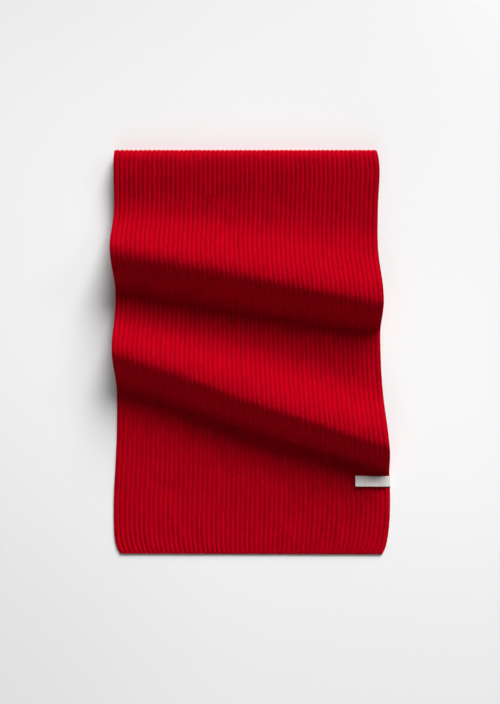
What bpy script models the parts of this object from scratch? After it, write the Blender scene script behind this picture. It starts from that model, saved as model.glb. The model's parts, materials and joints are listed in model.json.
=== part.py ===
"""A rib-knit scarf, folded up and laid flat on a surface.

Its top stretch rolls over the folded layers beneath it, rises in two soft slanting waves, and ends in a
hem that lies on the surface. Metres, +Z up: +X is to the right, +Y towards the rolled end, and the origin
is under the middle of the scarf.
"""

import collections
import functools
import math

import bmesh
import bpy
import numpy as np

# The cloth
WALL = 0.0020  # the knit between its ribs
RIB_HEIGHT = 0.0014
RIB_COUNT = 57
SEAM = 0.0003  # between pieces that touch
LENGTH = 0.4357  # from the rolled end to the hem
MIDDLE = 0.0023  # from the side tables' own zero to the middle of the scarf

# The roll over the folded layers at the far end
ROLL_TOP = 0.0205
ROLL_REACH = 0.0095  # of the wall's middle, from the roll's axis to the end
ROLL_LAP = 0.0045  # the flat start of the stretch, under the roll
ROLL_Y = LENGTH / 2 - ROLL_REACH - WALL / 2 - RIB_HEIGHT
LAP_START = ROLL_Y - ROLL_LAP

# The layers folded up beneath the stretch
LAYER = 0.0028
Layer = collections.namedtuple("Layer", "left right north south")
LAYERS = (  # the sides of each one, from the lowest up; north is how far it stops short of the lap
    Layer(left=-0.1390, right=0.1310, north=0.0003, south=-0.0240),
    Layer(left=-0.1405, right=0.1325, north=0.0027, south=-0.0240),
    Layer(left=-0.1380, right=0.1300, north=0.0027, south=-0.0200),
    Layer(left=-0.1400, right=0.1315, north=0.0057, south=-0.0200),
)
LAYER_CORNER = 0.0050
LAYER_GROOVE = 0.0016  # how far the edge draws in between two layers
LAYER_WANDER = 0.0006  # how far its sides stray from straight lines
LAYER_LEVELS = (0.0, 0.22, 0.5, 0.78, 1.0)  # where each layer's edge has its points, in parts of it
CORNER_POINTS = 5
LAYER_SIDE_POINTS = 10
STACK_HEIGHT = LAYER * len(LAYERS)

# Heights of the wall's middle
ON_FLOOR = WALL / 2
ON_STACK = STACK_HEIGHT + SEAM + WALL / 2

# The sides of the stretch, from the rolled end to the hem
Side = collections.namedtuple("Side", "y left right")
SIDES = (
    Side(y=0.2179, left=-0.1445, right=0.1362),
    Side(y=0.2040, left=-0.1462, right=0.1384),
    Side(y=0.1580, left=-0.1464, right=0.1377),
    Side(y=0.1100, left=-0.1467, right=0.1374),
    Side(y=0.0570, left=-0.1444, right=0.1404),
    Side(y=0.0050, left=-0.1456, right=0.1403),
    Side(y=-0.0600, left=-0.1442, right=0.1436),
    Side(y=-0.0950, left=-0.1446, right=0.1472),
    Side(y=-0.1250, left=-0.1460, right=0.1503),
    Side(y=-0.1570, left=-0.1477, right=0.1516),
    Side(y=-0.1850, left=-0.1478, right=0.1510),
    Side(y=-0.2050, left=-0.1463, right=0.1485),
    Side(y=-0.2179, left=-0.1426, right=0.1449),
)

# The waves, at five places from the left side to the right one
Wave = collections.namedtuple("Wave", "crest top north south")
PLACES = (0.0, 0.25, 0.5, 0.75, 1.0)
FIRST_WAVE = Wave(
    crest=(0.1097, 0.0971, 0.0836, 0.0693, 0.0554),
    top=(0.0535, 0.0555, 0.0560, 0.0555, 0.0540),
    north=(0.0530, 0.0630, 0.0730, 0.0800, 0.0860),
    south=(0.0460, 0.0450, 0.0420, 0.0390, 0.0350),
)
SECOND_WAVE = Wave(
    crest=(0.0021, -0.0211, -0.0484, -0.0716, -0.0937),
    top=(0.0440, 0.0455, 0.0460, 0.0455, 0.0435),
    north=(0.0610, 0.0680, 0.0820, 0.0780, 0.0790),
    south=(0.0430, 0.0410, 0.0390, 0.0360, 0.0330),
)

# The label over the right side
LABEL_LENGTH = 0.0375
LABEL_WIDTH = 0.0115
LABEL_Y = -0.1404
LABEL_TILT = -0.016
LABEL_WALL = 0.0006
LABEL_FOOT = 0.0004  # its lower end over the surface
LABEL_TOP_POINTS = 4
LABEL_BEND_POINTS = 6

# Colours
RED = (0.47, 0.003, 0.012)
DEEP_RED = (0.42, 0.003, 0.011)
PALE = (0.62, 0.58, 0.54)

# Rows of points along each span of the stretch, and points across its plain inner side
SPAN_ROWS = {
    "lap": 1,
    "roll": 6,
    "descent": 2,
    "first north": 5,
    "first south": 4,
    "valley": 1,
    "second north": 4,
    "second south": 4,
    "flat": 4,
}
INNER_COLUMNS = 12
CREST_CROWDING = 1.3  # 1 spaces the rows of a rising side evenly, more draws them to the crest
HEM_CROWDING = 1.5
RIBS_FADE_IN = (1.0, 1.35)  # v from which, and by which, the ribs rise from under the roll
STEP = 1e-4  # of u and v, to each side of a point, to find the normal there


def clear_scene():
    for old in list(bpy.data.objects):
        bpy.data.objects.remove(old, do_unlink=True)


def fabric(name, color, roughness):
    material = bpy.data.materials.new(name)
    material.use_nodes = True
    shader = material.node_tree.nodes["Principled BSDF"]
    shader.inputs["Base Color"].default_value = (*color, 1.0)
    shader.inputs["Roughness"].default_value = roughness
    shader.inputs["Metallic"].default_value = 0.0
    return material


def make_object(name, mesh, material):
    mesh.materials.append(material)
    made = bpy.data.objects.new(name, mesh)
    bpy.context.scene.collection.objects.link(made)
    return made


def smooth_line(at, values, x):
    """A smooth curve through the values at the places in at, which increase."""
    at, values = np.asarray(at), np.asarray(values)
    slope = np.gradient(values, at)
    k = np.clip(np.searchsorted(at, x, side="right") - 1, 0, len(at) - 2)
    width = at[k + 1] - at[k]
    t = (x - at[k]) / width
    rise = 3 * t**2 - 2 * t**3
    start = (t - 2 * t**2 + t**3) * width * slope[k]
    end = (t**3 - t**2) * width * slope[k + 1]
    return values[k] + rise * (values[k + 1] - values[k]) + start + end


def side_lines(y):
    """x of the stretch's left and right side at y."""
    rows = SIDES[::-1]
    at = [row.y for row in rows]
    left = smooth_line(at, [row.left for row in rows], y)
    right = smooth_line(at, [row.right for row in rows], y)
    return left - MIDDLE, right - MIDDLE


def ease(t):
    return 3 * t**2 - 2 * t**3


def dune(t):
    """1 at a wave's crest (t = 0), 0 at its foot (t = 1), steepest a third of the way down."""
    return 1 - (6 * t**2 - 8 * t**3 + 3 * t**4)


def straight(start, end, t):
    return start + (end - start) * t


def middle_under(outer_height):
    """The height of the wall's middle where its ribs reach outer_height."""
    return outer_height - RIB_HEIGHT - WALL / 2


@functools.lru_cache(maxsize=None)
def spans(u):
    """Each span of the stretch at u across it: a function that gives (y, z) at t from 0 to 1 along it."""
    first = Wave(*(smooth_line(PLACES, column, u) for column in FIRST_WAVE))
    second = Wave(*(smooth_line(PLACES, column, u) for column in SECOND_WAVE))
    crown = middle_under(ROLL_TOP)
    roll_z = (crown + ON_FLOOR) / 2
    roll_height = (crown - ON_FLOOR) / 2

    def rolled(t):
        angle = math.pi * (t - 0.5)
        return ROLL_Y + ROLL_REACH * np.cos(angle), roll_z + roll_height * np.sin(angle)

    def up(wave):
        def rising(t):
            back = (1 - t) ** CREST_CROWDING
            return wave.crest + wave.north * back, straight(ON_STACK, middle_under(wave.top), dune(back))

        return rising

    def down(wave, level):
        def falling(t):
            return wave.crest - wave.south * t, straight(middle_under(wave.top), level, ease(t))

        return falling

    valley_1 = first.crest + first.north
    valley_2 = first.crest - first.south
    rise_2 = second.crest + second.north
    foot_2 = second.crest - second.south
    hem = -LENGTH / 2
    return {
        "lap": lambda t: (straight(LAP_START, ROLL_Y, t), ON_FLOOR),
        "roll": rolled,
        "descent": lambda t: (straight(ROLL_Y, valley_1, t), straight(crown, ON_STACK, ease(t))),
        "first north": up(first),
        "first south": down(first, ON_STACK),
        "valley": lambda t: (straight(valley_2, rise_2, t), ON_STACK),
        "second north": up(second),
        "second south": down(second, ON_FLOOR),
        "flat": lambda t: (straight(foot_2, hem, 1 - (1 - t) ** HEM_CROWDING), ON_FLOOR),
    }


def middle_point(u, v):
    """The wall's middle surface at u across the stretch (0 to 1) and v along it, in spans."""
    made = list(spans(u).values())
    k = min(int(v), len(made) - 1)
    y, z = made[k](v - k)
    left, right = side_lines(y)
    return np.array([left + (right - left) * u, y, z])


def normal_at(u, v):
    """The outward normal of the middle surface, from points a small step to each side."""
    last = float(len(SPAN_ROWS))
    across = middle_point(min(u + STEP, 1.0), v) - middle_point(max(u - STEP, 0.0), v)
    along = middle_point(u, min(v + STEP, last - STEP)) - middle_point(u, max(v - STEP, 0.0))
    normal = np.cross(along, across)
    return normal / np.linalg.norm(normal)


def rows_along():
    """v of each row of points, from the lap to the hem."""
    rows = [k + i / count for k, count in enumerate(SPAN_ROWS.values()) for i in range(count)]
    return rows + [len(SPAN_ROWS) - STEP]


def rib_columns():
    """(u, height in parts of a rib) of each column of the outer side: a groove, then a rib's top."""
    return [(half / (2 * RIB_COUNT), float(half % 2)) for half in range(2 * RIB_COUNT + 1)]


def rib_share(v):
    """The ribs fade out where the stretch turns under and rests flat."""
    start, full = RIBS_FADE_IN
    return ease(min(max((v - start) / (full - start), 0.0), 1.0))


def zip_chains(bm, first, second):
    """Faces between two chains of points that run side by side, whatever their counts."""
    a = b = 0
    while a < len(first) - 1 or b < len(second) - 1:
        ahead_a = (a + 1) / (len(first) - 1)
        ahead_b = (b + 1) / (len(second) - 1)
        if b == len(second) - 1 or (a < len(first) - 1 and ahead_a <= ahead_b):
            bm.faces.new((first[a], first[a + 1], second[b]))
            a += 1
        else:
            bm.faces.new((first[a], second[b + 1], second[b]))
            b += 1


def skin(bm, grid):
    """Faces of a grid of points, rows along the stretch and columns across it."""
    for near, far in zip(grid, grid[1:]):
        for a, b, c, d in zip(near, near[1:], far[1:], far):
            bm.faces.new((a, d, c, b))


def smooth_mesh(bm, name, sharp_degrees):
    bmesh.ops.recalc_face_normals(bm, faces=bm.faces)
    if bm.calc_volume(signed=True) < 0:
        bmesh.ops.reverse_faces(bm, faces=bm.faces)
    mesh = bpy.data.meshes.new(name)
    bm.to_mesh(mesh)
    bm.free()
    mesh.shade_smooth()
    mesh.set_sharp_from_angle(angle=math.radians(sharp_degrees))
    return mesh


def make_ribbed_stretch(material):
    """The wall that shows: ribs raised in its outer points, and a plain inner side."""
    rows = rows_along()
    columns = rib_columns()
    inner_us = [k / INNER_COLUMNS for k in range(INNER_COLUMNS + 1)]
    bm = bmesh.new()
    outer, inner = [], []
    for v in rows:
        raised = RIB_HEIGHT * rib_share(v)
        outer.append([
            bm.verts.new(middle_point(u, v) + normal_at(u, v) * (WALL / 2 + raised * height))
            for u, height in columns
        ])
        inner.append([bm.verts.new(middle_point(u, v) - normal_at(u, v) * (WALL / 2)) for u in inner_us])
    skin(bm, outer)
    skin(bm, inner)
    for end in (0, -1):
        zip_chains(bm, outer[end], inner[end])
        side_outer = [row[end] for row in outer]
        side_inner = [row[end] for row in inner]
        zip_chains(bm, side_outer, side_inner)
    return make_object("ribbed_stretch", smooth_mesh(bm, "ribbed_stretch", 75), material)


def layer_ring(layer, inset, number):
    """Points round one layer's outline, drawn in by inset; its corners are round and its sides stray."""
    left = layer.left - MIDDLE + inset
    right = layer.right - MIDDLE - inset
    north = LAP_START - layer.north - inset
    south = layer.south + inset
    centres = (
        (right - LAYER_CORNER, north - LAYER_CORNER),
        (left + LAYER_CORNER, north - LAYER_CORNER),
        (left + LAYER_CORNER, south + LAYER_CORNER),
        (right - LAYER_CORNER, south + LAYER_CORNER),
    )
    ring = []
    for quarter, (x, y) in enumerate(centres):
        for k in range(CORNER_POINTS):
            angle = math.pi / 2 * (quarter + k / (CORNER_POINTS - 1))
            ring.append((x + LAYER_CORNER * math.cos(angle), y + LAYER_CORNER * math.sin(angle)))
        next_x, next_y = centres[(quarter + 1) % 4]
        out = math.pi / 2 * (quarter + 1)
        for k in range(1, LAYER_SIDE_POINTS):
            t = k / LAYER_SIDE_POINTS
            stray = LAYER_WANDER * math.sin(math.pi * t) * math.sin(5.1 * t + 1.7 * number + quarter)
            reach = LAYER_CORNER - abs(stray)
            ring.append((
                straight(x, next_x, t) + reach * math.cos(out),
                straight(y, next_y, t) + reach * math.sin(out),
            ))
    return ring


def make_hidden_layers(material):
    """The folded layers beneath, as one solid whose edge bulges at each layer."""
    bm = bmesh.new()
    rings = []
    for number, layer in enumerate(LAYERS):
        for level in LAYER_LEVELS[min(number, 1) :]:
            inset = LAYER_GROOVE * (1 - math.sqrt(1 - (2 * level - 1) ** 2))
            z = LAYER * (number + level)
            rings.append([bm.verts.new((x, y, z)) for x, y in layer_ring(layer, inset, number)])
    for low, high in zip(rings, rings[1:]):
        for k in range(len(low)):
            after = (k + 1) % len(low)
            bm.faces.new((low[k], low[after], high[after], high[k]))
    bm.faces.new(rings[0][::-1])
    bm.faces.new(rings[-1])
    return make_object("hidden_layers", smooth_mesh(bm, "hidden_layers", 60), material)


def make_label(material):
    """A bare woven tape that lies on the ribs and folds down over the right side."""
    bend = WALL / 2 + RIB_HEIGHT / 2  # the radius of the cloth's side inside it
    gap = bend + SEAM

    def strip(offset, y):
        side = float(side_lines(y)[1])
        radius = gap + offset
        top = WALL + RIB_HEIGHT + SEAM + offset
        start = side - LABEL_LENGTH
        flat = [straight(start, side - bend, k / LABEL_TOP_POINTS) for k in range(LABEL_TOP_POINTS)]
        points = [(x, top) for x in flat]
        for k in range(LABEL_BEND_POINTS + 1):
            angle = math.pi / 2 * (1 - k / LABEL_BEND_POINTS)
            points.append((side - bend + radius * math.cos(angle), top - radius + radius * math.sin(angle)))
        points.append((side - bend + radius, LABEL_FOOT))
        return [(x, y + LABEL_TILT * (x - side), z) for x, z in points]

    south, north = LABEL_Y - LABEL_WIDTH / 2, LABEL_Y + LABEL_WIDTH / 2
    edges = (strip(0.0, south), strip(0.0, north), strip(LABEL_WALL, north), strip(LABEL_WALL, south))
    bm = bmesh.new()
    rings = [[bm.verts.new(point) for point in ring] for ring in zip(*edges)]
    for near, far in zip(rings, rings[1:]):
        for k in range(4):
            after = (k + 1) % 4
            bm.faces.new((near[k], near[after], far[after], far[k]))
    bm.faces.new(rings[0])
    bm.faces.new(rings[-1][::-1])
    return make_object("woven_label", smooth_mesh(bm, "woven_label", 40), material)


def main():
    clear_scene()
    red = fabric("red_rib_knit", RED, 0.92)
    deep_red = fabric("red_knit_layers", DEEP_RED, 0.94)
    tape = fabric("pale_woven_tape", PALE, 0.80)
    make_ribbed_stretch(red)
    make_hidden_layers(deep_red)
    make_label(tape)


main()
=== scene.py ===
"""Dresses the folded rib-knit scarf: its cloth, each knitted stitch, its edges, its label and the studio.

The cloth follows one middle surface, given by the tables below, in metres. u runs across the scarf from
its left side (0) to its right side (1), and v along it from the start under the roll to the hem, in spans.
"""

import collections
import json
import math

import bmesh
import bpy
import numpy as np
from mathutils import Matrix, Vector


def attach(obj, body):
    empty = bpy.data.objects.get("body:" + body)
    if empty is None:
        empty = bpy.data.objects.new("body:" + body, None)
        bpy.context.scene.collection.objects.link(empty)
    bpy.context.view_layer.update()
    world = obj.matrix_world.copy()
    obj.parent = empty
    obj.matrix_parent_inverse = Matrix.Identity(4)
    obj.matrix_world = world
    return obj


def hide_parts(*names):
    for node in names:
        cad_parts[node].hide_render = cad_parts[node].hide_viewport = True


bl_info = {
    "name": "Rib-knit scarf",
    "version": (1, 0, 0),
    "blender": (4, 5, 0),
    "location": "View3D > Sidebar > Scarf",
    "description": "Knits a folded ribbed scarf around its packed solids",
    "category": "Add Mesh",
}

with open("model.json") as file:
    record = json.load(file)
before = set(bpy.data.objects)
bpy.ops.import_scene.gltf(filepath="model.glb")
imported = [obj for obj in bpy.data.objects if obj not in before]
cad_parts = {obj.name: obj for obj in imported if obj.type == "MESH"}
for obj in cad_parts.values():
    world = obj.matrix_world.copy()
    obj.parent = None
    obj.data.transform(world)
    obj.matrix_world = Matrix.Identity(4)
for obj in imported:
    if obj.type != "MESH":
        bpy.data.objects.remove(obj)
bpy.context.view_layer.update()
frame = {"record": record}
SLOT_COLORS = {m["slot"]: tuple(m["base_color"][:3]) for m in frame["record"]["materials"]}

# The cloth, as in its solids
WALL = 0.0020
RIB_HEIGHT = 0.0014
RIB_COUNT = 57
SEAM = 0.0003
LENGTH = 0.4357
MIDDLE = 0.0023  # x of the frame's origin in the tables of sides and layers
ROLL_TOP = 0.0205
ROLL_REACH = 0.0095
ROLL_LAP = 0.0045
ROLL_Y = LENGTH / 2 - ROLL_REACH - WALL / 2 - RIB_HEIGHT
LAP_START = ROLL_Y - ROLL_LAP
LAYER = 0.0028
Layer = collections.namedtuple("Layer", "left right north south")
LAYERS = (
    Layer(-0.1390, 0.1310, 0.0003, -0.0240),
    Layer(-0.1405, 0.1325, 0.0027, -0.0240),
    Layer(-0.1380, 0.1300, 0.0027, -0.0200),
    Layer(-0.1400, 0.1315, 0.0057, -0.0200),
)
ON_FLOOR = WALL / 2
ON_STACK = LAYER * len(LAYERS) + SEAM + WALL / 2
# x of the two sides at places along y
SIDES_Y = (-0.2179, -0.2050, -0.1850, -0.1570, -0.1250, -0.0950, -0.0600,
           0.0050, 0.0570, 0.1100, 0.1580, 0.2040, 0.2179)
LEFT_SIDE = (-0.1426, -0.1463, -0.1478, -0.1477, -0.1460, -0.1446, -0.1442,
               -0.1460, -0.1447, -0.1471, -0.1464, -0.1464, -0.1460)
RIGHT_SIDE = (0.1455, 0.1488, 0.1513, 0.1520, 0.1506, 0.1471, 0.1440,
              0.1403, 0.1404, 0.1374, 0.1377, 0.1384, 0.1362)
# Each wave at five places across: y of its crest, its height, and how far it runs to either side
Wave = collections.namedtuple("Wave", "crest top north south")
PLACES = (0.0, 0.25, 0.5, 0.75, 1.0)
FIRST_WAVE = Wave(
    crest=(0.1097, 0.0971, 0.0836, 0.0693, 0.0554),
    top=(0.0535, 0.0555, 0.0560, 0.0555, 0.0540),
    north=(0.0530, 0.0630, 0.0730, 0.0800, 0.0860),
    south=(0.0460, 0.0450, 0.0420, 0.0390, 0.0350),
)
SECOND_WAVE = Wave(
    crest=(0.0021, -0.0211, -0.0484, -0.0716, -0.0937),
    top=(0.0440, 0.0455, 0.0460, 0.0455, 0.0435),
    north=(0.0610, 0.0680, 0.0820, 0.0780, 0.0790),
    south=(0.0430, 0.0410, 0.0390, 0.0360, 0.0330),
)
SPANS = 9  # lap, roll, top of the stack, rise, fall, valley, rise, fall, and stretch to the hem
LAST_V = SPANS - 1e-9
CREST_CROWDING = 1.3
HEM_CROWDING = 1.5

# Where the soft cloth differs from its solids
CREST_SETTLE = 0.0018  # how far it has sunk at a crest
SETTLE_RIGHT = 0.9  # how much more at the crest's right end, in parts of that
CREST_ROUND = 0.0135  # how far from the crest that reaches
HEM_FURTHER = 0.0010  # how much further the hem lies
ROLL_FULLER = 0.0015  # how much further the roll reaches, where its ribs are stretched flatter
LATE_CREST = 0.0035  # how much nearer the hem the second wave's crest ends
LIFTED_END = 0.0050  # how much further the second wave's right end falls
EDGE_INSET = 0.0010  # of the middle surface, so that a side's rounded edge ends where the solid's does
CORNER_INSET = 0.0016  # of the hem's rounded corners
CORNER_LENGTH = 0.0075
CREASES_FROM = 1.6  # v at which the creases begin, on the roll
HEM_STEADY = 0.006  # how near the hem they end
SWELL = 0.00022  # height of the cloth's soft swell

# Slanting waves of an irregular field: length, turn from +X in degrees, phase and share
WANDER_WAVES = (
    (0.083, 78, 0.4, 0.40),
    (0.031, 97, 2.2, 0.30),
    (0.017, 66, 4.6, 0.22),
    (0.0105, 88, 1.3, 0.15),
)
SWELL_WAVES = (
    (0.061, 24, 0.8, 0.45),
    (0.037, 112, 3.5, 0.35),
    (0.022, 61, 5.2, 0.22),
)
LAYER_WAVES = ((0.13, 8, 0.5, 0.6), (0.047, 15, 2.1, 0.5))

# Soft creases: each one's place, half length and half width, turn from +X in degrees, and height
Crease = collections.namedtuple("Crease", "x y length width turn height")
CREASES = [Crease(*row) for row in (
    # over the folded layers
    (-0.127, 0.192, 0.014, 0.005, 96, 0.0007),
    (-0.128, 0.166, 0.012, 0.006, 30, -0.0008),
    (-0.105, 0.178, 0.020, 0.009, 62, 0.0007),
    (-0.083, 0.170, 0.026, 0.008, 80, 0.0006),
    (-0.051, 0.180, 0.015, 0.004, 108, 0.0010),
    (-0.030, 0.183, 0.030, 0.010, 20, 0.0005),
    (0.003, 0.172, 0.014, 0.004, 90, 0.0007),
    (0.040, 0.176, 0.024, 0.009, 105, 0.0006),
    (0.066, 0.166, 0.018, 0.006, 158, 0.0007),
    (0.092, 0.163, 0.014, 0.004, 118, 0.0009),
    (0.098, 0.178, 0.030, 0.011, 70, 0.0006),
    # on the waves
    (-0.120, 0.055, 0.018, 0.008, 35, 0.0006),
    (-0.021, 0.026, 0.016, 0.004, 105, -0.0008),
    (0.033, 0.009, 0.012, 0.005, 90, 0.0009),
    (0.020, 0.035, 0.034, 0.010, -22, 0.0007),
    (0.092, 0.006, 0.014, 0.007, 80, 0.0009),
    (0.105, 0.020, 0.022, 0.009, -30, 0.0007),
    (0.100, -0.036, 0.016, 0.006, 100, -0.0008),
    # towards the hem
    (-0.102, -0.093, 0.012, 0.009, 20, 0.0010),
    (-0.060, -0.120, 0.026, 0.011, 75, 0.0007),
    (-0.100, -0.142, 0.016, 0.005, 140, -0.0009),
    (-0.010, -0.150, 0.036, 0.012, -15, 0.0008),
    (0.045, -0.160, 0.022, 0.009, 95, 0.0006),
    (-0.113, -0.190, 0.020, 0.0040, 95, 0.0011),
    (-0.083, -0.184, 0.022, 0.0042, 109, 0.0012),
    (-0.054, -0.192, 0.017, 0.0040, 100, 0.0010),
    (-0.013, -0.176, 0.019, 0.0038, 90, 0.0011),
    (0.002, -0.188, 0.013, 0.0034, 84, 0.0008),
    (0.040, -0.197, 0.015, 0.0040, 128, 0.0013),
    (0.068, -0.182, 0.020, 0.0038, 88, 0.0010),
    (0.093, -0.182, 0.024, 0.0042, 92, 0.0013),
    (0.123, -0.176, 0.018, 0.0042, 96, 0.0009),
)]

# The label, as in its solid
LABEL_LENGTH = 0.0375
LABEL_WIDTH = 0.0115
LABEL_Y = -0.1404
LABEL_TILT = -0.016
LABEL_FOOT = 0.0004


# Sizes and colours that can be changed


class ScarfKnit(bpy.types.PropertyGroup):
    stitch_height: bpy.props.FloatProperty(
        name="Stitch height", description="From one stitch of a rib to the next",
        default=0.00222, min=0.0015, max=0.004, unit="LENGTH", precision=5)
    stitch_leg: bpy.props.FloatProperty(
        name="Leg width", description="Width of one leg of a stitch, which is its yarn",
        default=0.00205, min=0.0008, max=0.003, unit="LENGTH", precision=5)
    unevenness: bpy.props.FloatProperty(
        name="Unevenness", description="How much the stitches differ from each other",
        default=1.0, min=0.0, max=3.0, subtype="FACTOR")
    wander: bpy.props.FloatProperty(
        name="Rib wander", description="How far a rib strays from its line",
        default=0.00045, min=0.0, max=0.002, unit="LENGTH", precision=5)
    crease_share: bpy.props.FloatProperty(
        name="Creases", description="Height of the soft creases, in parts of their own",
        default=1.0, min=0.0, max=2.0, subtype="FACTOR")
    color: bpy.props.FloatVectorProperty(
        name="Wool", description="Colour of the wool",
        default=(0.58, 0.0010, 0.0142), min=0.0, max=1.0, subtype="COLOR")
    deep_color: bpy.props.FloatVectorProperty(
        name="Hidden wool", description="Colour of the folded layers beneath",
        default=SLOT_COLORS["red_knit_layers"], min=0.0, max=1.0, subtype="COLOR")


class ScarfLabel(bpy.types.PropertyGroup):
    color: bpy.props.FloatVectorProperty(
        name="Tape", description="Colour of the woven tape",
        default=(0.95, 0.925, 0.90), min=0.0, max=1.0, subtype="COLOR")
    thread_pitch: bpy.props.FloatProperty(
        name="Weave", description="From one weft of the tape to the next",
        default=0.00042, min=0.0002, max=0.001, unit="LENGTH", precision=5)


class ScarfStage(bpy.types.PropertyGroup):
    floor_color: bpy.props.FloatVectorProperty(
        name="Floor", description="Colour of the floor",
        default=(0.839, 0.839, 0.841), min=0.0, max=1.0, subtype="COLOR")
    camera_height: bpy.props.FloatProperty(
        name="Camera height", description="From the floor to the camera",
        default=1.4, min=0.5, max=5.0, unit="LENGTH")
    view_height: bpy.props.FloatProperty(
        name="View", description="Length of the floor that the camera sees",
        default=0.765248, min=0.2, max=3.0, unit="LENGTH")


# Nodes


def sum_of(kind):
    """A method that makes a math node of this kind."""
    return lambda value, other: value.tree.math(kind, value, other)


class Value:
    """A node's output that sums can be written with."""

    def __init__(self, tree, socket):
        self.tree = tree
        self.socket = socket

    __add__ = __radd__ = sum_of("ADD")
    __mul__ = __rmul__ = sum_of("MULTIPLY")
    __sub__ = sum_of("SUBTRACT")
    __truediv__ = sum_of("DIVIDE")
    __pow__ = sum_of("POWER")

    def __rsub__(self, other):
        return self.tree.math("SUBTRACT", other, self)


class Tree:
    """A node tree that is wired by calls: each one makes a node and returns its output."""

    def __init__(self, tree):
        self.tree = tree

    def fill(self, node, inputs):
        """Links or sets a node's inputs, by name or number."""
        for name, value in inputs.items():
            if isinstance(value, Value):
                self.tree.links.new(value.socket, node.inputs[name])
            else:
                node.inputs[name].default_value = value

    def node(self, kind, settings=None, inputs=None, output=0):
        """A node of this kind, its settings made first and then its inputs."""
        made = self.tree.nodes.new(kind)
        for name, value in (settings or {}).items():
            setattr(made, name, value)
        self.fill(made, inputs or {})
        return Value(self, made.outputs[output])

    def math(self, operation, *values):
        return self.node("ShaderNodeMath", {"operation": operation}, dict(enumerate(values)))

    def vector_math(self, operation, *values):
        return self.node("ShaderNodeVectorMath", {"operation": operation}, dict(enumerate(values)))

    def scaled(self, vector, factor):
        return self.node("ShaderNodeVectorMath", {"operation": "SCALE"}, {0: vector, "Scale": factor})

    def split(self, vector):
        made = self.node("ShaderNodeSeparateXYZ", inputs={0: vector}).socket.node
        return [Value(self, out) for out in made.outputs]

    def joined(self, x, y, z):
        return self.node("ShaderNodeCombineXYZ", inputs={0: x, 1: y, 2: z})

    def mixed(self, factor, a, b):
        """A colour from a to b."""
        return self.node("ShaderNodeMix", {"data_type": "RGBA"}, {0: factor, 6: a, 7: b}, output=2)

    def place(self):
        return self.node("ShaderNodeTexCoord", output="Object")

    def noise(self, place, scale, detail=2.0):
        return self.node("ShaderNodeTexNoise", inputs={"Vector": place, "Scale": scale, "Detail": detail})

    def bump(self, distance, height):
        return self.node("ShaderNodeBump", inputs={"Strength": 0.6, "Distance": distance, "Height": height})

    def eased(self, value, start, end, low, high):
        """From low, where the value is at start, smoothly to high at end."""
        return self.node("ShaderNodeMapRange", {"interpolation_type": "SMOOTHSTEP"},
                         {0: value, 1: start, 2: end, 3: low, 4: high})

    def stored(self, name, kind="FLOAT"):
        return self.node("GeometryNodeInputNamedAttribute", {"data_type": kind}, {"Name": name})

    def store(self, mesh, name, value, kind="FLOAT"):
        return self.node("GeometryNodeStoreNamedAttribute", {"data_type": kind},
                         {"Geometry": mesh, "Name": name, "Value": value})

    def close(self, mesh, material, end):
        """Ends a Geometry Nodes tree with this mesh, realized and in its material."""
        made = self.node("GeometryNodeRealizeInstances", inputs={"Geometry": mesh})
        made = self.node("GeometryNodeSetMaterial", inputs={"Geometry": made, "Material": material})
        self.fill(end, {0: made})
        return self.tree


def geometry_tree(name, sizes):
    """A Geometry Nodes tree with inputs of these names and defaults: (tree, {name: value}, output node)."""
    group = bpy.data.node_groups.new(name, "GeometryNodeTree")
    group.interface.new_socket("Geometry", in_out="INPUT", socket_type="NodeSocketGeometry")
    for label, default in sizes.items():
        kind = {float: "Float", int: "Int"}.get(type(default), "Material")
        socket = group.interface.new_socket(label, in_out="INPUT", socket_type="NodeSocket" + kind)
        if default is not None:
            socket.default_value = default
    group.interface.new_socket("Geometry", in_out="OUTPUT", socket_type="NodeSocketGeometry")
    tree = Tree(group)
    start = group.nodes.new("NodeGroupInput")
    end = group.nodes.new("NodeGroupOutput")
    return tree, {out.name: Value(tree, out) for out in start.outputs if out.name}, end


def grown(obj, group, values):
    """Runs a Geometry Nodes tree on an object with these inputs and keeps its result as a plain mesh."""
    modifier = obj.modifiers.new(group.name, "NODES")
    modifier.node_group = group
    for item in group.interface.items_tree:
        if item.in_out == "INPUT" and item.name in values:
            modifier[item.identifier] = values[item.name]
    graph = bpy.context.evaluated_depsgraph_get()
    mesh = bpy.data.meshes.new_from_object(obj.evaluated_get(graph), depsgraph=graph)
    obj.modifiers.clear()
    before = obj.data
    obj.data = mesh
    mesh.name = before.name
    bpy.data.meshes.remove(before)
    mesh.shade_smooth()
    return obj


# The cloth's middle surface


def smooth_line(at, values, x):
    """A smooth curve through the values at the places in at, which increase."""
    at, values = np.asarray(at), np.asarray(values)
    slope = np.gradient(values, at)
    k = np.clip(np.searchsorted(at, x, side="right") - 1, 0, len(at) - 2)
    width = at[k + 1] - at[k]
    t = (x - at[k]) / width
    start = (t - 2 * t**2 + t**3) * width * slope[k]
    end = (t**3 - t**2) * width * slope[k + 1]
    return values[k] + ease(t) * (values[k + 1] - values[k]) + start + end


def ease(t):
    return 3 * t**2 - 2 * t**3


def dune(t):
    return 1 - (6 * t**2 - 8 * t**3 + 3 * t**4)


def straight(start, end, t):
    return start + (end - start) * t


def middle_under(outer_height):
    return outer_height - RIB_HEIGHT - WALL / 2


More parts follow.
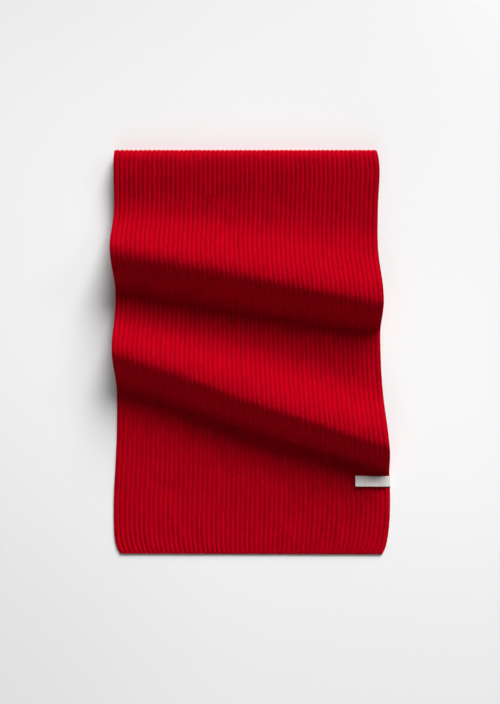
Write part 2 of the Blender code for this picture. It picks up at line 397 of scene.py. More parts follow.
def plan_and_height(u, v):
    """y and z of the middle surface, before its creases."""
    first = Wave(*(smooth_line(PLACES, column, u) for column in FIRST_WAVE))
    second = Wave(*(smooth_line(PLACES, column, u) for column in SECOND_WAVE))
    second = second._replace(
        crest=second.crest - LATE_CREST * u**4,
        south=second.south + LIFTED_END * u**12,
    )
    k = np.clip(np.floor(v), 0, SPANS - 1).astype(int)
    t = v - k
    crown = middle_under(ROLL_TOP)
    angle = np.pi * (t - 0.5)
    left_over = np.clip(1 - t, 0, 1)
    back = left_over**CREST_CROWDING
    to_hem = 1 - left_over**HEM_CROWDING
    first_top = middle_under(first.top)
    second_top = middle_under(second.top)
    y = (
        straight(LAP_START, ROLL_Y, t),
        ROLL_Y + (ROLL_REACH + ROLL_FULLER) * np.cos(angle),
        straight(ROLL_Y, first.crest + first.north, t),
        first.crest + first.north * back,
        first.crest - first.south * t,
        straight(first.crest - first.south, second.crest + second.north, t),
        second.crest + second.north * back,
        second.crest - second.south * t,
        straight(second.crest - second.south, -LENGTH / 2 - HEM_FURTHER, to_hem),
    )
    z = (
        ON_FLOOR + 0 * t,
        (crown + ON_FLOOR) / 2 + (crown - ON_FLOOR) / 2 * np.sin(angle),
        straight(crown, ON_STACK, ease(t)),
        straight(ON_STACK, first_top, dune(back)),
        straight(first_top, ON_STACK, ease(t)),
        ON_STACK + 0 * t,
        straight(ON_STACK, second_top, dune(back)),
        straight(second_top, ON_FLOOR, ease(t)),
        ON_FLOOR + 0 * t,
    )
    y, z = np.choose(k, y), np.choose(k, z)
    for wave in (first, second):
        settle = CREST_SETTLE * (1 + SETTLE_RIGHT * u**3)
        z = z - (k > 2) * settle * np.exp(-((y - wave.crest) / CREST_ROUND) ** 2)
    return y, z


def ripple(x, y, waves):
    """A smooth irregular field at x, y, from a few slanting waves."""
    total = 0
    for length, turn, phase, share in waves:
        a = math.radians(turn)
        total = total + share * np.sin(2 * np.pi * (x * math.cos(a) + y * math.sin(a)) / length + phase)
    return total


def creased(x, y):
    """How far the creases and the cloth's own soft swell lift it at x, y."""
    lift = SWELL * (1 + ripple(x, y, SWELL_WAVES))
    for c in CREASES:
        a = math.radians(c.turn)
        along = (x - c.x) * math.cos(a) + (y - c.y) * math.sin(a)
        across = (y - c.y) * math.cos(a) - (x - c.x) * math.sin(a)
        lift = lift + c.height * np.exp(-((along / c.length) ** 2) - (across / c.width) ** 2)
    return lift


def middle_surface(u, v, wander=0.0, creases=0.0):
    """Points of the middle surface, as an array with x, y, z last."""
    y, z = plan_and_height(u, v)
    corner = CORNER_INSET * np.clip(1 - (y + LENGTH / 2) / CORNER_LENGTH, 0, 1) ** 2
    left = smooth_line(SIDES_Y, LEFT_SIDE, y) - MIDDLE + EDGE_INSET + corner
    right = smooth_line(SIDES_Y, RIGHT_SIDE, y) - MIDDLE - EDGE_INSET - corner
    x = left + (right - left) * u
    inside = np.clip(np.minimum(u, 1 - u) * 12, 0, 1)
    lying = np.clip(v - CREASES_FROM, 0, 1) * np.clip((y + LENGTH / 2) / HEM_STEADY, 0, 1)
    x = x + wander * inside * ripple(x, y + 0.6 * z, WANDER_WAVES)
    z = z + creases * lying * creased(x, y)
    return np.stack([x, y, z], axis=-1)


def unit(vectors):
    return vectors / np.linalg.norm(vectors, axis=-1, keepdims=True)


def stretch_frame(u, v):
    """Points of the middle surface and their directions: outward, across to u = 1, and along to the hem."""
    knit = bpy.context.scene.scarf_knit

    def moved(by_u, by_v):
        place = np.clip(u + by_u, 0, 1), np.clip(v + by_v, 0, LAST_V)
        return middle_surface(*place, knit.wander, knit.crease_share)

    across = unit(moved(2e-4, 0) - moved(-2e-4, 0))
    along = unit(moved(0, 2e-3) - moved(0, -2e-3))
    return moved(0, 0), unit(np.cross(along, across)), across, along


def lengths_along(points):
    """The length of a line of points from its start to each of them."""
    steps = np.linalg.norm(np.diff(points, axis=0), axis=1)
    return np.concatenate([[0], np.cumsum(steps)])


# Meshes


def linked(name, data):
    """An object with this mesh, lens or light, in the scene."""
    made = bpy.data.objects.new(name, data)
    bpy.context.scene.collection.objects.link(made)
    return made


def plain_object(name, points, faces=(), edges=(), material=None):
    mesh = bpy.data.meshes.new(name)
    mesh.from_pydata(np.asarray(points).reshape(-1, 3).tolist(), list(edges), list(faces))
    if material:
        mesh.materials.append(material)
    return linked(name, mesh)


def give(mesh, **attributes):
    """Stores a number or a vector for each of the mesh's points, under each name."""
    for name, values in attributes.items():
        vector = np.size(values) == 3 * len(mesh.vertices)
        made = mesh.attributes.new(name, "FLOAT_VECTOR" if vector else "FLOAT", "POINT")
        made.data.foreach_set("vector" if vector else "value", np.asarray(values, np.float32).ravel())


def turned_out(mesh):
    """Turns a closed mesh's faces outwards."""
    bm = bmesh.new()
    bm.from_mesh(mesh)
    bmesh.ops.recalc_face_normals(bm, faces=bm.faces)
    if bm.calc_volume(signed=True) < 0:
        bmesh.ops.reverse_faces(bm, faces=bm.faces)
    bm.to_mesh(mesh)
    bm.free()


def ring_faces(rings, size):
    """Quads between rings of points that follow each other, each of this size."""
    k = np.arange(size)
    after = (k + 1) % size
    start = (np.arange(rings - 1) * size)[:, None]
    quads = np.stack([start + k, start + after, start + size + after, start + size + k], -1)
    return quads.reshape(-1, 4).tolist()


def zipped(upper, lower):
    """Triangles between two chains of point numbers that run side by side."""
    faces, a, b = [], 0, 0
    while a < len(upper) - 1 or b < len(lower) - 1:
        if b == len(lower) - 1 or (a < len(upper) - 1 and (a + 1) / len(upper) <= (b + 1) / len(lower)):
            faces.append((upper[a], upper[a + 1], lower[b]))
            a += 1
        else:
            faces.append((upper[a], lower[b + 1], lower[b]))
            b += 1
    return faces


SIDE_ANGLE = 50.0  # between the points round a side's edge, in degrees
END_TURNS = (30.0, 60.0, 88.0)  # of the rows that round off the cloth's two ends


def round_ends(length_at, v_at, spacing, radius):
    """v of rows about spacing apart, whose first and last few round off the ends.

    The second result is each row's share of the cloth's thickness. length_at and v_at give the cloth's
    length at fine steps of v.
    """
    first, last = length_at[0], length_at[-1]
    turns = np.radians(END_TURNS)
    near = radius * (1 - np.sin(turns))
    count = max(int(round((last - first - 2 * radius) / spacing)), 1)
    body = np.linspace(first + radius, last - radius, count + 1)
    at = np.concatenate([(first + near)[::-1], body, last - near])
    thin = np.concatenate([np.cos(turns)[::-1], np.ones(count + 1), np.cos(turns)])
    return np.interp(at, length_at, v_at), thin


def shell(name, rows, course, thin, groove_shade_share, frame_at, sizes, material):
    """A closed sheet round a middle surface, whose ribs are then raised by the rib tree.

    Its points start on the middle surface and store where they go: out, the direction; base, how far;
    rib, their place across the ribs; and lift, their share of a rib's height. sizes are the wall, the
    depth carved on its inner side, the depth its grooves sink, lift, and where a rib has its columns.
    """
    wall, carve, sunk, lift, steps = sizes
    outer = np.array([k + step for k in range(RIB_COUNT) for step in steps] + [RIB_COUNT]) / RIB_COUNT
    inner = np.arange(2 * RIB_COUNT + 1)[::-1] / (2 * RIB_COUNT)
    u = np.concatenate([[0, 0], outer, [1, 1, 1], inner, [0]])
    a = SIDE_ANGLE
    angle = np.concatenate([[0, a], np.full(len(outer), 90), [a, 0, -a], np.full(len(inner), -90), [-a]])
    is_outer, is_inner = angle == 90, angle == -90
    uu, vv = np.meshgrid(u, rows)
    points, normal, across, _ = frame_at(uu, vv)
    turn = np.radians(angle)[:, None]
    out = unit(np.cos(turn) * np.where(u > 0.5, 1, -1)[:, None] * across + np.sin(turn) * normal)
    thin = thin[:, None] * np.ones_like(uu)
    base = thin * np.where(is_inner, wall / 2 - carve, np.where(is_outer, wall / 2 - sunk, wall / 2))
    raised = thin * np.where(is_outer, lift, np.where(is_inner, carve / RIB_HEIGHT, 0.0))
    rib = np.where(is_inner, uu * RIB_COUNT + 0.5, np.where(is_outer, uu * RIB_COUNT, 0.0))
    size = len(u)
    upper = list(range(1, 2 + len(outer) + 1))
    far = upper[-1] + 1
    lower = list(range(size - 1, far, -1))
    faces = ring_faces(len(rows), size)
    for start in (0, (len(rows) - 1) * size):
        top, under = [start + k for k in upper], [start + k for k in lower]
        faces += zipped(top, under)
        faces += [(start, top[0], under[0]), (start + far, top[-1], under[-1])]
    made = plain_object(name, points, faces)
    turned_out(made.data)
    # open tells the material how much painted shade the grooves get.
    course, groove_shade_share = (np.broadcast_to(values[:, None], uu.shape) for values in (course, groove_shade_share))
    give(made.data, out=out, base=base, lift=raised, rib=rib, course=course, open=groove_shade_share)
    return grown(made, rib_tree(), {"Rib height": RIB_HEIGHT, "Material": material})


Guide = collections.namedtuple("Guide", "points out along size open")  # arrays, a row for each point


def guides(name, lines):
    """An object of guide lines for stitches, each with as many points as the others."""
    joined = Guide(*(np.concatenate(column) for column in zip(*lines)))
    count = len(lines[0].points)
    edges = [(k, k + 1) for k in range(len(joined.points) - 1) if (k + 1) % count]
    made = plain_object(name, joined.points, edges=edges)
    give(made.data, out=joined.out, along=joined.along, size=joined.size, open=joined.open)
    return made


# Materials


def principled(name):
    material = bpy.data.materials.new(name)
    material.use_nodes = True
    return material, Tree(material.node_tree), material.node_tree.nodes["Principled BSDF"]


def wool(name, color, groove_shade):
    """Soft matt wool; its third argument is its brightness deep between the ribs, a painted shade.

    The attributes that it reads: crown, how high on a rib, which sets where that painted shade falls; leg,
    the place on a stitch's leg; course, the length along the cloth in stitches; and open, how far the
    grooves open, which sets how much of that painted shade shows.
    """
    material, tree, shader = principled(name)

    def stored(label, output="Fac"):
        return tree.node("ShaderNodeAttribute", {"attribute_name": label}, output=output)

    place = tree.place()
    fibres = tree.noise(tree.vector_math("MULTIPLY", place, (2600.0, 700.0, 1500.0)), 1.0, 3.0)
    fuzz = tree.noise(place, 5200.0, 1.0)
    patches = tree.noise(place, 26.0, 3.0)
    streaks = tree.noise(tree.vector_math("MULTIPLY", place, (230.0, 45.0, 120.0)), 1.0, 2.0)
    specks = tree.noise(place, 480.0, 1.0)
    crown = stored("crown")
    across, _, along = tree.split(stored("leg", "Vector"))
    ply = tree.math("SINE", along * 8.0 + across * 3.5)
    purl = tree.math("SINE", stored("course") * (2 * math.pi)) * (1.0 - crown)
    shade = (patches - 0.5) * 0.30 + (streaks - 0.5) * 0.75 + (specks - 0.5) * 1.5
    shade = shade + (fibres - 0.5) * 0.55 + ply * 0.07 + 0.5
    dark = tuple(c * 0.74 for c in color) + (1.0,)
    light = (color[0] * 1.16, color[1] * 1.1, color[2] * 1.25, 1.0)
    # deep is the painted shade between the ribs; height, from crown, purl and open, mixes it in.
    deep = tuple(c * groove_shade for c in color) + (1.0,)
    height = tree.math("SMOOTH_MIN", crown * 1.12 + purl * 0.22, 1.0, 0.25)
    height = 1.0 - (1.0 - height) * stored("open")
    yarn = tree.mixed(height, deep, tree.mixed(shade, dark, light))
    grain = fibres * 0.55 + fuzz * 0.25 + ply * 0.2 + purl * 2.2
    # The Base Color darkens each leg towards its ends, a painted shade where it dives under the next
    # stitch.
    tree.fill(shader, {
        "Base Color": tree.scaled(yarn, 1.0 - along * along * 0.55),
        "Roughness": 0.80 + fuzz * 0.16,
        "Normal": tree.bump(0.00026, grain),
        "Specular IOR Level": 0.04,
        "Specular Tint": (1.0, 0.05, 0.1, 1.0),
        "Sheen Weight": 0.3,
        "Sheen Roughness": 0.40,
        "Sheen Tint": (1.0, 0.01, 0.04, 1.0),
    })
    return material


WARP_PITCH = 0.62  # of a tape, in parts of its weft's
FOLD_SHADE_FROM = 0.020  # along the tape, where its painted shade starts, darker towards its fold
FOLD_SHADE_TO = 0.037


def woven_tape(name, color, pitch):
    """A plain woven tape: fine weft ribs across it and a faint warp along it. Its colour is painted darker
    towards its fold, as shade.
    """
    material, tree, shader = principled(name)
    along, across, _ = tree.split(tree.node("ShaderNodeUVMap", {"uv_map": "weave"}))
    weft = tree.math("SINE", along * (2 * math.pi / pitch))
    warp = tree.math("SINE", across * (2 * math.pi / (pitch * WARP_PITCH)))
    slub = tree.noise(tree.place(), 900.0, 3.0)
    height = weft * warp * 0.35 + weft * 0.35 + slub * 0.5
    shade = slub * 0.7 + weft * warp * 0.12 + 0.15
    dark = tuple(c * 0.90 for c in color) + (1.0,)
    light = tuple(min(c * 1.05, 1.0) for c in color) + (1.0,)
    # Painted shade: the tape's colour darkens towards the fold over the side.
    painted_fold_shade = tree.eased(along, FOLD_SHADE_FROM, FOLD_SHADE_TO, 1.0, 0.60)
    tree.fill(shader, {
        "Base Color": tree.scaled(tree.mixed(shade, dark, light), painted_fold_shade),
        "Roughness": 0.66 + slub * 0.2,
        "Normal": tree.bump(0.00010, height),
        "Specular IOR Level": 0.3,
        "Sheen Weight": 0.1,
    })
    return material


def studio_floor(name, color):
    """A matt sheet whose colour is painted darker towards its near and left ends, as light falling off, and
    under the corner's softbox, to even out its light.
    """
    material, tree, shader = principled(name)
    place = tree.place()
    x, y, _ = tree.split(place)
    # Painted shade: darker where the lamps' light would fall off, and where the corner softbox lights it
    # most.
    light = tree.eased(x, -0.34, 0.03, 0.915, 1.0) * tree.eased(y, -0.44, 0.06, 0.875, 1.0)
    light = light * tree.eased(x * -0.6 + y * -0.8, -0.42, 0.05, 0.86, 1.0)
    tooth = tree.noise(place, 400.0, 2.0)
    shade = tree.scaled((*color,), light * (0.997 + tooth * 0.006))
    tree.fill(shader, {"Base Color": shade, "Roughness": 0.9, "Specular IOR Level": 0.1})
    return material


# The knitted stitches


RIB_STITCH = {
    "Leg thickness": 0.00135, "Spread": 0.00090, "Slant": 0.00052, "Overlap": 1.30, "Dive": 0.0007,
    "Rounding": 0.0011,
}
EDGE_STITCH = {
    "Leg width": 0.0015, "Leg thickness": 0.0013, "Spread": 0.00062, "Slant": 0.0003, "Overlap": 1.5,
    "Dive": 0.0004, "Rounding": 0.0003,
}


def stitch_tree(name):
    """Stitches along guide lines: two plump legs make each knitted V."""
    tree, size, end = geometry_tree(name, {
        "Stitch height": 0.0022, **EDGE_STITCH, "Segments": 5, "Rings": 4, "Unevenness": 1.0, "Seed": 1,
        "Material": None,
    })
    ball = tree.node("GeometryNodeMeshUVSphere", inputs={
        "Segments": size["Segments"], "Rings": size["Rings"], "Radius": 1.0})
    place = tree.node("GeometryNodeInputPosition")
    across, turn, along = tree.split(place)
    ball = tree.store(ball, "leg", place, "FLOAT_VECTOR")
    stitch = tree.node("GeometryNodeJoinGeometry")
    for side in (-1.0, 1.0):
        x = size["Leg width"] * 0.5 * across + (size["Spread"] + size["Slant"] * along) * side
        y = size["Stitch height"] * size["Overlap"] * 0.5 * along
        z = size["Leg thickness"] * 0.5 * turn - size["Dive"] * along * along
        aside = (x / size["Leg width"]) ** 2.0
        z = z - size["Rounding"] * aside
        # crown, lower on a leg's underside and outer edges, sets the painted shade that the yarn's colour
        # gets there.
        leg = tree.store(ball, "crown", turn * 0.5 + 0.52 - aside * 0.35)
        shape = tree.joined(x, y, z)
        leg = tree.node("GeometryNodeSetPosition", inputs={"Geometry": leg, "Position": shape})
        tree.fill(stitch.socket.node, {0: leg})
    lines = tree.node("GeometryNodeMeshToCurve", inputs={"Mesh": size["Geometry"]})
    points = tree.node("GeometryNodeResampleCurve", {"mode": "LENGTH"},
                       {"Curve": lines, "Length": size["Stitch height"]})

    out, ahead, plumpness = (tree.stored(label, "FLOAT_VECTOR") for label in ("out", "along", "size"))

    def stray(seed, amount):
        low, high = (-amount,) * 3, (amount,) * 3
        drawn = tree.node("FunctionNodeRandomValue", {"data_type": "FLOAT_VECTOR"},
                          {0: low, 1: high, "Seed": size["Seed"] + seed})
        return tree.scaled(drawn, size["Unevenness"])

    aim = tree.node("FunctionNodeAlignRotationToVector", {"axis": "Z"}, {"Vector": out})
    direction = tree.vector_math("ADD", ahead, stray(11.0, 0.07))
    aim = tree.node("FunctionNodeAlignRotationToVector", {"axis": "Y", "pivot_axis": "Z"},
                    {"Rotation": aim, "Vector": direction})
    plump = tree.vector_math("ADD", stray(23.0, 0.075), (1.0, 1.0, 1.0))
    plump = tree.vector_math("MULTIPLY", plump, plumpness)
    offset = stray(37.0, 0.00006)
    placed = tree.node("GeometryNodeSetPosition", inputs={"Geometry": points, "Offset": offset})
    made = tree.node("GeometryNodeInstanceOnPoints", inputs={
        "Points": placed, "Instance": stitch, "Rotation": aim, "Scale": plump})
    return tree.close(made, size["Material"], end)


def rib_tree():
    """Ribs raised on a sheet: each stored point moves out by its base and its share of a rib."""
    sizes = {"Rib height": RIB_HEIGHT, "Roundness": 0.7, "Material": None}
    tree, size, end = geometry_tree("raised ribs", sizes)
    rib, lift, base = (tree.stored(label) for label in ("rib", "lift", "base"))
    turn = tree.math("SINE", rib * math.pi)
    profile = (turn * turn) ** size["Roundness"]
    crown = 1.0 - (1.0 - profile) * tree.math("MINIMUM", lift * 4.0, 1.0)
    grow = tree.scaled(tree.stored("out", "FLOAT_VECTOR"), base + profile * lift * size["Rib height"])
    made = tree.node("GeometryNodeSetPosition", inputs={"Geometry": size["Geometry"], "Offset": grow})
    # crown, how high on a rib, sets the painted shade between the ribs in the wool's colour.
    return tree.close(tree.store(made, "crown", crown), size["Material"], end)


# The pieces

RIB_STEPS = (0.0, 0.26, 0.74)  # of a rib, where the shell has its columns
ROW = 0.0026
INNER_CARVE = 0.0005  # depth of the ribs' grooves on the cloth's inner side
GROOVE = 0.0006  # how far the grooves between the ribs sink into the wall
CORE = 0.90  # height of the cloth beneath a rib's stitches, in parts of the rib's
STITCHES_FROM = 1.22  # v at which the stitches begin, under the roll
STITCH_BANDS = ("left", "left_middle", "middle", "right_middle", "right")
USUAL_WIDTH = 0.2872  # of the stretch, at which a stitch has its own width
CAST_OFF_PITCH = 0.00255  # from one stitch of the hem to the next
# How the ribs' height and the opening of their grooves, with their painted shade, change: at which v, how
# far from it, and how much
RIB_CHANGES = (
    (1.5, 0.33, -0.75),
    (3.5, 0.36, 0.15),
    (4.10, 0.22, -0.35),
    (6.5, 0.36, 0.15),
    (7.10, 0.22, -0.35),
)
GROOVE_CHANGES = (
    (3.5, 0.50, 0.28),
    (4.70, 0.60, -0.34),
    (6.5, 0.50, 0.17),
    (7.70, 0.60, -0.34),
)


def cloth_lengths():
    """Fine steps of v and the cloth's length at each, along its middle."""
    v = np.linspace(0, LAST_V, 9001)
    return v, lengths_along(middle_surface(np.full_like(v, 0.5), v))


def even_v(count, end_inset):
    """v of evenly spaced points along the cloth, from the first stitches to end_inset before the hem."""
    v, length = cloth_lengths()
    at = np.linspace(np.interp(STITCHES_FROM, v, length), length[-1] - end_inset, count)
    return np.interp(at, length, v)


def rib_share(v):
    """Height of the ribs along the cloth, in parts of their own.

    They start on the roll, are stretched flatter over it and over the crests, and stand up on the rises.
    """
    height = ease(np.clip((v - 1.0) / 0.35, 0, 1))
    for at, reach, amount in RIB_CHANGES:
        height = height * (1 + amount * np.exp(-(((v - at) / reach) ** 2)))
    return height


def opening_and_groove_shade(v):
    """How far the grooves between the ribs open, and how much painted shade they get: wide on a wave's lit
    rise, and little on its shaded fall.
    """
    share = np.full(np.shape(v), 0.60)
    for at, reach, amount in GROOVE_CHANGES:
        share = share + amount * np.exp(-(((v - at) / reach) ** 4))
    return share


def dress(piece, replaced=None):
    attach(piece, "root")
    if replaced:
        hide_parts(replaced)


def knitted(name, lines, tree, seed, sizes):
    """A piece of stitches along guide lines."""
    knit = bpy.context.scene.scarf_knit
    piece = guides(name, lines)
    values = {
        "Stitch height": knit.stitch_height,
        "Leg width": knit.stitch_leg,
        "Unevenness": knit.unevenness,
        "Seed": seed,
        "Material": bpy.data.materials["red_yarn"],
    }
    grown(piece, tree, values | sizes)
    dress(piece)


class SCARF_OT_cloth(bpy.types.Operator):
    """Make the stretch that shows, as a thin ribbed sheet with soft creases"""

    bl_idname = "scarf.cloth"
    bl_label = "Ribbed cloth"

    def execute(self, context):
        knit = context.scene.scarf_knit
        v, length = cloth_lengths()
        rows, thin = round_ends(length, v, ROW, WALL / 2)
        sizes = (WALL, INNER_CARVE, GROOVE, CORE * rib_share(rows)[:, None], RIB_STEPS)
        course = np.interp(rows, v, length) / knit.stitch_height
        cloth = shell("ribbed_cloth", rows, course, thin, opening_and_groove_shade(rows), stretch_frame, sizes,
                      wool("red_wool", knit.color, 0.20))
        dress(cloth, "ribbed_stretch")
        return {"FINISHED"}


def rib_guides(first, last):
    """Guide lines along the ribs from first up to last, a little above the middle of their height."""
    rows = even_v(170, 0.0024)
    share, height = opening_and_groove_shade(rows), rib_share(rows)
    lines = []
    for rib in range(first, last):
        points, normal, _, along = stretch_frame(np.full_like(rows, (rib + 0.5) / RIB_COUNT), rows)
        top = (WALL / 2 + 0.55 * RIB_HEIGHT * height)[:, None]
        sides = [smooth_line(SIDES_Y, side, points[:, 1]) for side in (LEFT_SIDE, RIGHT_SIDE)]
        wide = (1.05 - 0.10 * share) * (sides[1] - sides[0]) / USUAL_WIDTH
        size = np.stack([wide, np.ones_like(wide), 0.5 + 0.5 * height], axis=-1)
        lines.append(Guide(points + normal * top, normal, along, size, share))
    return lines


class SCARF_OT_stitches(bpy.types.Operator):
    """Knit the stitches along every rib"""

    bl_idname = "scarf.stitches"
    bl_label = "Rib stitches"

    def execute(self, context):
        tree = stitch_tree("knit stitches")
        wool("red_yarn", context.scene.scarf_knit.color, 0.45)
        cuts = [round(RIB_COUNT * k / len(STITCH_BANDS)) for k in range(len(STITCH_BANDS) + 1)]
        for number, band in enumerate(STITCH_BANDS):
            lines = rib_guides(cuts[number], cuts[number + 1])
            knitted("rib_stitches_" + band, lines, tree, 40 + number, RIB_STITCH)
        return {"FINISHED"}


def side_guide(u):
    """A guide line down one side's edge, sunk a little into it."""
    rows = even_v(200, 0.0017)
    points, normal, across, along = stretch_frame(np.full_like(rows, u), rows)
    out = unit(across * (1 if u > 0.5 else -1) + 0.35 * normal)
    size = np.broadcast_to(np.array([0.72, 1.0, 0.62]), points.shape)
    return Guide(points + out * (WALL / 2 - 0.0002), out, along, size, opening_and_groove_shade(rows))


def hem_guide():
    """A guide line along the cast-off edge at the hem, on its upper corner."""
    u = np.linspace(0.004, 0.996, 240)
    rows = np.full_like(u, even_v(2, 0.0009)[-1])
    points, normal, across, along = stretch_frame(u, rows)
    out = unit(normal + 0.45 * along)
    size = np.broadcast_to(np.array([0.85, 1.0, 0.9]), points.shape)
    return Guide(points + 0.0007 * normal + 0.0006 * along, out, across, size, opening_and_groove_shade(rows))


class SCARF_OT_edges(bpy.types.Operator):
    """Knit the stitches along both sides and cast off the hem"""

    bl_idname = "scarf.edges"
    bl_label = "Selvedges and cast-off edge"

    def execute(self, context):
        tree = stitch_tree("edge stitches")
        knitted("left_selvedge", [side_guide(0.0)], tree, 60, EDGE_STITCH)
        knitted("right_selvedge", [side_guide(1.0)], tree, 61, EDGE_STITCH)
        cast_off = EDGE_STITCH | {"Stitch height": CAST_OFF_PITCH}
        knitted("cast_off_edge", [hem_guide()], tree, 62, cast_off)
        return {"FINISHED"}


# The folded layers: one sheet that goes to and fro, each layer with its own sides

LAYER_WALL = 0.0017
LAYER_RIB = 0.32  # height of its ribs, in parts of the stretch's
LAYER_HALF = LAYER_WALL / 2 + LAYER_RIB * RIB_HEIGHT
LAYER_ROW = 0.013
LAYER_INSET = 0.0013  # of its middle surface from its sides
LAYER_STRAY = 0.0006  # how far its sides stray


def layer_path():
    """The folded sheet's middle line as (y, z, layer) points from its start at the lap, and its lengths."""
    line = []
    turn = np.linspace(0, np.pi, 9)[1:-1]
    radius = LAYER / 2
    for number, layer in enumerate(LAYERS):
        z = LAYER * (number + 0.5)
        north = LAP_START - layer.north
        south = layer.south + LAYER_HALF + radius
        if 0 < number < len(LAYERS) - 1:
            north = north - LAYER_HALF - radius
        ends = (south, north) if number % 2 else (north, south)
        line += [(straight(*ends, t), z, number) for t in np.linspace(0, 1, 15)]
        if number == len(LAYERS) - 1:
            break
        sign = -1 if number % 2 == 0 else 1
        for angle in turn:
            line.append((ends[1] + sign * radius * math.sin(angle), z + radius * (1 - math.cos(angle)),
                         number + angle / np.pi))
    line = np.array(line)
    return line, lengths_along(line[:, :2])


def layer_frame(u, s):
    """The folded sheet's points and directions at u across it and at the length s along it."""
    line, length = layer_path()

    def at(s):
        return [np.interp(s, length, line[:, k]) for k in range(3)]

    y, z, layer = at(s)
    ahead, back = at(s + 2e-4), at(s - 2e-4)
    along = unit(np.stack([0 * y, ahead[0] - back[0], ahead[1] - back[1]], axis=-1))
    numbers = np.arange(len(LAYERS))
    stray = LAYER_STRAY * ripple(y + 0.05 * layer, 0.02 * layer, LAYER_WAVES)
    left = np.interp(layer, numbers, [row.left for row in LAYERS]) - MIDDLE + LAYER_INSET + stray
    right = np.interp(layer, numbers, [row.right for row in LAYERS]) - MIDDLE - LAYER_INSET + stray
    points = np.stack([straight(left, right, u), y, z], axis=-1)
    across = np.broadcast_to(np.array([1.0, 0.0, 0.0]), points.shape)
    return points, unit(np.cross(along, across)), across, along


class SCARF_OT_layers(bpy.types.Operator):
    """Fold the rest of the scarf beneath, four layers deep"""

    bl_idname = "scarf.layers"
    bl_label = "Folded layers"

    def execute(self, context):
        knit = context.scene.scarf_knit
        line, length = layer_path()
        rows, thin = round_ends(length, length, LAYER_ROW, LAYER_WALL / 2)
        bends = length[(line[:, 2] % 1) > 0]
        rows = np.concatenate([rows, bends])
        order = np.argsort(rows)
        rows = rows[order]
        thin = np.concatenate([thin, np.ones(len(bends))])[order]
        rib = LAYER_RIB * RIB_HEIGHT
        sizes = (LAYER_WALL + rib, rib, 0.0, LAYER_RIB, (0.0, 0.5))
        course = rows / knit.stitch_height
        piece = shell("folded_layers", rows, course, thin, np.ones_like(rows), layer_frame, sizes,
                      wool("deep_red_wool", knit.deep_color, 0.56))
        dress(piece, "hidden_layers")
        return {"FINISHED"}


# The label

TAPE = 0.00030
TAPE_TURN = 0.0040  # of its end, turned under
TURN_POINTS = 5
TAPE_SETTLE = 0.004  # over which it comes down past its turned end
TAPE_RIBS = 0.00009  # how far the ribs beneath show through it
TAPE_COLUMNS = 13
TAPE_PULL = 0.00022  # how far its width strays
LABEL_LIFT = 0.0016  # of its near edge off the ribs
LIFT_RUN = 0.007  # from the side, over which that edge lifts
RIB_PITCH = 0.0052


def tape_line():
    """The tape's middle line in x and z from the stretch's right side: turned end, top, bend and fall."""
    bend = WALL / 2 + RIB_HEIGHT / 2
    radius = bend + SEAM + TAPE / 2
    top = WALL + RIB_HEIGHT + SEAM + TAPE / 2
    high = top + TAPE
    start = -LABEL_LENGTH
    line = [(start + TAPE_TURN - t * (TAPE_TURN - TAPE), top) for t in np.linspace(0, 1, TURN_POINTS)]
    for angle in np.linspace(-90, -270, 7)[1:-1]:
        a = math.radians(angle)
        line.append((start + TAPE + TAPE / 2 * math.cos(a), top + TAPE / 2 + TAPE / 2 * math.sin(a)))
    for t in np.linspace(0, 1, 30):
        x = straight(start + TAPE, -bend, t)
        settled = ease(np.clip((x - start - TAPE_TURN) / TAPE_SETTLE, 0, 1))
        ribs = TAPE_RIBS * math.sin(2 * math.pi * x / RIB_PITCH + 0.6) * settled * (1 - t**6)
        line.append((x, straight(high, top + 0.00005, settled) + ribs))
    for angle in np.linspace(90, 0, 9)[1:]:
        a = math.radians(angle)
        line.append((-bend + radius * math.cos(a), top - radius + radius * math.sin(a)))
    line += [(-bend + radius, straight(top - radius, LABEL_FOOT, t)) for t in (0.35, 0.7, 1.0)]
    return np.array(line)


class SCARF_OT_label(bpy.types.Operator):
    """Fold the bare woven label over the right side, down onto the cloth"""

    bl_idname = "scarf.label"
    bl_label = "Label"

    def execute(self, context):
        tape = context.scene.scarf_label
        line = tape_line()
        tangent = unit(np.gradient(line, axis=0))
        normal = np.stack([-tangent[:, 1], tangent[:, 0]], axis=-1)
        normal[:TURN_POINTS] = (0.0, -1.0)
        across = np.linspace(-0.5, 0.5, TAPE_COLUMNS)
        edge = 1 - 0.75 * np.clip((np.abs(across) - 0.46) / 0.04, 0, 1)
        side = float(smooth_line(SIDES_Y, RIGHT_SIDE, LABEL_Y)) - MIDDLE
        columns = range(TAPE_COLUMNS)
        rings, weave = [], []
        for (x, z), (nx, nz), along in zip(line, normal, lengths_along(line)):
            pull = TAPE_PULL * math.sin(along * 160 + 0.5)
            for face, order in ((1, columns), (-1, columns[::-1])):
                for k in order:
                    offset = face * TAPE / 2 * edge[k]
                    px = x + nx * offset
                    y = LABEL_Y + LABEL_WIDTH * across[k] + LABEL_TILT * px + pull * across[k]
                    raised = LABEL_LIFT * (0.5 - across[k]) * ease(np.clip(-px / LIFT_RUN, 0, 1))
                    rings.append((side + px, y, z + nz * offset + raised))
                    weave.append((along, across[k] * LABEL_WIDTH))
        size = 2 * TAPE_COLUMNS
        faces = ring_faces(len(line), size)
        for start in (0, (len(line) - 1) * size):
            faces += zipped([start + k for k in columns], [start + size - 1 - k for k in columns])
        material = woven_tape("woven_tape", tape.color, tape.thread_pitch)
        piece = plain_object("woven_tape", rings, faces, material=material)
        turned_out(piece.data)
        layer = piece.data.uv_layers.new(name="weave")
        corners = np.empty(len(piece.data.loops), int)
        piece.data.loops.foreach_get("vertex_index", corners)
        layer.data.foreach_set("uv", np.array(weave, np.float32)[corners].ravel())
        piece.data.shade_smooth()
        dress(piece, "woven_label")
        return {"FINISHED"}


# The studio

FLOOR_HALF = 4.0
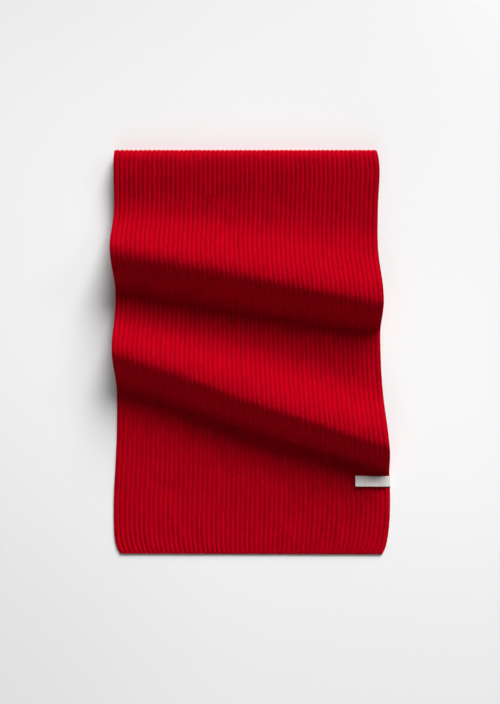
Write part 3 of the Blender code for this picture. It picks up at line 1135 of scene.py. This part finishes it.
# Angles in degrees: azimuth from +Y towards +X, and width as seen from the scarf
Softbox = collections.namedtuple("Softbox", "name azimuth elevation strength width")
SOFTBOXES = (
    Softbox("far_softbox", 17.5, 29.2, 5.45, 32.0),
    Softbox("near_softbox", 185.0, 26.0, 0.66, 50.0),
)
AMBIENT = 0.152
CORNER_PLACE = (0.62, 0.62, 0.50)  # of a small softbox beyond the rolled end's right corner
CORNER_AIM = (0.05, 0.1, 0.0)
CORNER_SIZE = 0.35
CORNER_POWER = 1.5  # in watts
VIEW_GAMMA = 0.92


def add_light(name, kind, strength, towards):
    """A light that shines from this direction."""
    light = bpy.data.lights.new(name, kind)
    light.energy = strength
    lamp = linked(name, light)
    lamp.rotation_euler = Vector(towards).to_track_quat("Z", "Y").to_euler()
    return lamp


class SCARF_OT_studio(bpy.types.Operator):
    """Set up the pale floor, the soft lights and the camera straight above"""

    bl_idname = "scarf.studio"
    bl_label = "Studio"

    def execute(self, context):
        scene, stage = context.scene, context.scene.scarf_stage
        corners = [(x * FLOOR_HALF, y * FLOOR_HALF, 0) for x, y in ((-1, -1), (1, -1), (1, 1), (-1, 1))]
        material = studio_floor("pale_floor", stage.floor_color)
        floor = plain_object("floor", corners, [(0, 1, 2, 3)], material=material)
        lens = bpy.data.cameras.new("camera")
        lens.lens = lens.sensor_width * stage.camera_height / stage.view_height
        lens.clip_end = 20.0
        camera = linked("camera", lens)
        camera.location = (-MIDDLE, 0.0, stage.camera_height)
        scene.camera = camera
        for box in SOFTBOXES:
            a, e = math.radians(box.azimuth), math.radians(box.elevation)
            towards = (math.sin(a) * math.cos(e), math.cos(a) * math.cos(e), math.sin(e))
            lamp = add_light(box.name, "SUN", box.strength, towards)
            lamp.data.angle = math.radians(box.width)
        towards = Vector(CORNER_PLACE) - Vector(CORNER_AIM)
        corner = add_light("corner_softbox", "AREA", CORNER_POWER, towards)
        corner.data.shape = "DISK"
        corner.data.size = CORNER_SIZE
        corner.location = CORNER_PLACE
        corner.visible_camera = False
        world = bpy.data.worlds.new("studio")
        world.use_nodes = True
        background = world.node_tree.nodes["Background"]
        Tree(world.node_tree).fill(background, {"Color": (1.0,) * 4, "Strength": AMBIENT})
        scene.world = world
        scene.view_settings.view_transform = "Standard"
        scene.view_settings.look = "None"
        scene.view_settings.gamma = VIEW_GAMMA
        return {"FINISHED"}


class SCARF_PT_panel(bpy.types.Panel):
    """The scarf's pieces, in the order they are made"""

    bl_label = "Rib-knit scarf"
    bl_idname = "SCARF_PT_panel"
    bl_space_type = "VIEW_3D"
    bl_region_type = "UI"
    bl_category = "Scarf"

    def draw(self, context):
        for group in (context.scene.scarf_knit, context.scene.scarf_label, context.scene.scarf_stage):
            box = self.layout.box()
            for name in group.__annotations__:
                box.prop(group, name)
        for operator in OPERATORS:
            self.layout.operator(operator.bl_idname)


OPERATORS = (
    SCARF_OT_studio,
    SCARF_OT_layers,
    SCARF_OT_cloth,
    SCARF_OT_stitches,
    SCARF_OT_edges,
    SCARF_OT_label,
)
GROUPS = {"scarf_knit": ScarfKnit, "scarf_label": ScarfLabel, "scarf_stage": ScarfStage}


def register():
    for made in (*GROUPS.values(), *OPERATORS, SCARF_PT_panel):
        bpy.utils.register_class(made)
    for name, group in GROUPS.items():
        setattr(bpy.types.Scene, name, bpy.props.PointerProperty(type=group))


def unregister():
    for name in GROUPS:
        delattr(bpy.types.Scene, name)
    for made in (SCARF_PT_panel, *OPERATORS[::-1], *GROUPS.values()):
        bpy.utils.unregister_class(made)


def declare():
    """Lists the names of the stitch pieces, and does nothing more with them."""
    stitches = ["rib_stitches_" + band for band in STITCH_BANDS]
    stitches += ["left_selvedge", "right_selvedge", "cast_off_edge"]


def main():
    register()
    for operator in OPERATORS:
        getattr(bpy.ops.scarf, operator.bl_idname.split(".")[1])()
    declare()


if __name__ == "__main__":
    main()
